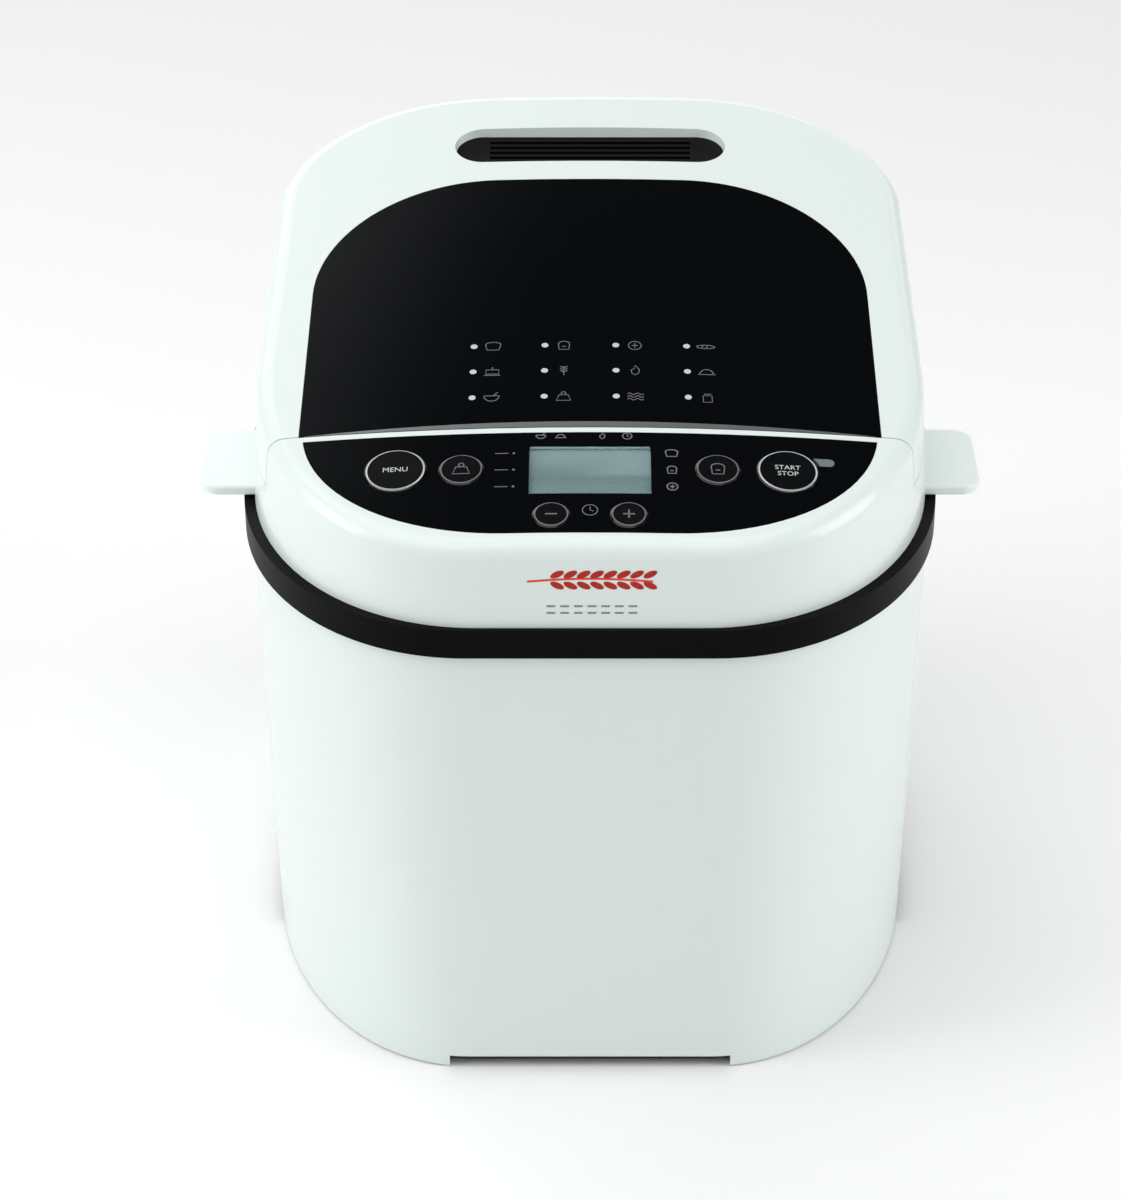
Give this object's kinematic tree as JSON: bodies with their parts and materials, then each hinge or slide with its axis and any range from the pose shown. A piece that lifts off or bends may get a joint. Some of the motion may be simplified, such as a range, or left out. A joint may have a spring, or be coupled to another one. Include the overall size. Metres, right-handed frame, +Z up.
{
  "type": "bread machine",
  "caption": "Countertop bread machine with a hinged domed lid, sloping button panel, lift-out pan with a bail handle, and a belt-driven kneading paddle.",
  "frame": {"origin": "on the table surface, under the middle of the body", "axes": "+Z up, +X to the right of someone facing the control panel, -Y towards them"},
  "size_m": [0.306, 0.3, 0.2955],
  "materials": {
    "white_shell": "cool white glossy moulded plastic",
    "white_lid": "cool white glossy moulded plastic",
    "white_handle": "white moulded tabs",
    "band_black": "satin black trim ring",
    "panel_black": "deep gloss black panel",
    "button_black": "gloss black caps with pale printed rings",
    "silver_trim": "satin silver strip",
    "display_glass": "clear display window",
    "display_grey": "grey-green reflective display",
    "indicator_grey": "smoke grey light bar",
    "base_black": "textured black base",
    "foot_rubber": "black rubber",
    "grille_black": "black vent insert",
    "board_green": "circuit board",
    "switch_grey": "small switches",
    "oven_steel": "grey enamelled sheet",
    "plain_steel": "zinc-plated steel",
    "liner_metal": "pressed aluminium",
    "heater_steel": "heat-darkened steel sheath",
    "pan_coating": "dark non-stick coating",
    "pan_metal": "die-cast aluminium",
    "wire_chrome": "plated wire",
    "seal_silicone": "grey silicone",
    "bush_bronze": "sintered bronze",
    "pulley_plastic": "natural nylon",
    "belt_rubber": "toothed rubber belt",
    "motor_iron": "laminated iron",
    "capacitor_case": "pale plastic case",
    "cable_grey": "ribbon cable",
    "gland_black": "black cord gland"
  },
  "bodies": {
    "housing": {"base_plate": "base_black", "rubber_feet": "foot_rubber", "base_screws": "plain_steel", "lower_shell": "white_shell", "rear_panel": "white_shell", "black_band": "band_black", "upper_housing": "white_shell", "side_handle_left": "white_handle", "side_handle_right": "white_handle", "control_fascia": "panel_black", "display_lens": "display_glass", "lcd_module": "display_grey", "control_board": "board_green", "tact_switches": "switch_grey", "indicator_lens": "indicator_grey", "oven_chamber": "oven_steel", "heating_element": "heater_steel", "element_clips": "plain_steel", "temperature_sensor": "plain_steel", "heat_shield": "plain_steel", "chassis_plate": "plain_steel", "chassis_posts": "plain_steel", "drive_bearing_housing": "pan_metal", "drive_bushes": "bush_bronze", "pan_clips": "plain_steel", "motor_stator": "motor_iron", "motor_bracket": "plain_steel", "motor_capacitor": "capacitor_case", "power_board": "board_green", "terminal_block": "capacitor_case", "ribbon_cable": "cable_grey", "drive_belt": "belt_rubber", "cord_gland": "gland_black", "hinge_pins": "plain_steel"},
    "lid": {"lid_cover": "white_lid", "lid_fascia": "panel_black", "lid_trim": "silver_trim", "vent_grille": "grille_black", "lid_liner": "liner_metal", "lid_seal": "seal_silicone"},
    "pan": {"bread_pan": "pan_coating", "pan_base": "pan_metal", "pan_shaft_seal": "seal_silicone", "pan_handle_pivots": "plain_steel"},
    "bail": {"pan_handle": "wire_chrome"},
    "paddle": {"kneading_paddle": "pan_coating", "pan_shaft": "plain_steel", "pan_coupler": "pan_metal"},
    "drive": {"drive_shaft": "plain_steel", "drive_pulley": "pulley_plastic", "drive_coupler": "pan_metal"},
    "rotor": {"motor_rotor": "motor_iron", "motor_pulley": "plain_steel", "motor_fan": "pulley_plastic"},
    "button_menu_body": {"button_menu": "button_black"},
    "button_weight_body": {"button_weight": "button_black"},
    "button_crust_body": {"button_crust": "button_black"},
    "button_start_stop_body": {"button_start_stop": "button_black"},
    "button_minus_body": {"button_minus": "button_black"},
    "button_plus_body": {"button_plus": "button_black"}
  },
  "joints": [
    {"name": "lid_hinge", "type": "hinge", "parent": "housing", "child": "lid", "pos_m": [0, 0.1455, 0.2282], "axis": [-1, 0, 0], "range_deg": [0, 80]},
    {"name": "pan_lift", "type": "slide", "parent": "housing", "child": "pan", "axis": [0, 0, 1], "range_m": [0, 0.04]},
    {"name": "pan_handle_swing", "type": "hinge", "parent": "pan", "child": "bail", "pos_m": [0, 0.033, 0.178], "axis": [-1, 0, 0], "range_deg": [0, 164]},
    {"name": "motor_spin", "type": "hinge", "parent": "housing", "child": "rotor", "pos_m": [0.038, -0.104, 0.02], "axis": [0, 0, 1], "continuous": true},
    {"name": "drive_spin", "type": "hinge", "parent": "housing", "child": "drive", "pos_m": [0, 0.033, 0.03], "axis": [0, 0, 1], "continuous": true},
    {"name": "paddle_spin", "type": "hinge", "parent": "pan", "child": "paddle", "pos_m": [0, 0.033, 0.075], "axis": [0, 0, 1], "continuous": true},
    {"name": "menu_press", "type": "slide", "parent": "housing", "child": "button_menu_body", "axis": [0.0535, 0.2076, -0.9767], "range_m": [0, 0.0008], "stiffness_N_per_m": 1500},
    {"name": "weight_press", "type": "slide", "parent": "housing", "child": "button_weight_body", "axis": [0.0354, 0.2078, -0.9775], "range_m": [0, 0.0008], "stiffness_N_per_m": 1500},
    {"name": "crust_press", "type": "slide", "parent": "housing", "child": "button_crust_body", "axis": [-0.0351, 0.2078, -0.9775], "range_m": [0, 0.0008], "stiffness_N_per_m": 1500},
    {"name": "start_stop_press", "type": "slide", "parent": "housing", "child": "button_start_stop_body", "axis": [-0.0543, 0.2076, -0.9767], "range_m": [0, 0.0008], "stiffness_N_per_m": 1500},
    {"name": "minus_press", "type": "slide", "parent": "housing", "child": "button_minus_body", "axis": [0.0106, 0.2079, -0.9781], "range_m": [0, 0.0008], "stiffness_N_per_m": 1500},
    {"name": "plus_press", "type": "slide", "parent": "housing", "child": "button_plus_body", "axis": [-0.0106, 0.2079, -0.9781], "range_m": [0, 0.0008], "stiffness_N_per_m": 1500}
  ],
  "couplings": [
    {"joint": "drive_spin", "follows": "motor_spin", "ratio": 0.15385},
    {"joint": "paddle_spin", "follows": "motor_spin", "ratio": 0.15385}
  ]
}
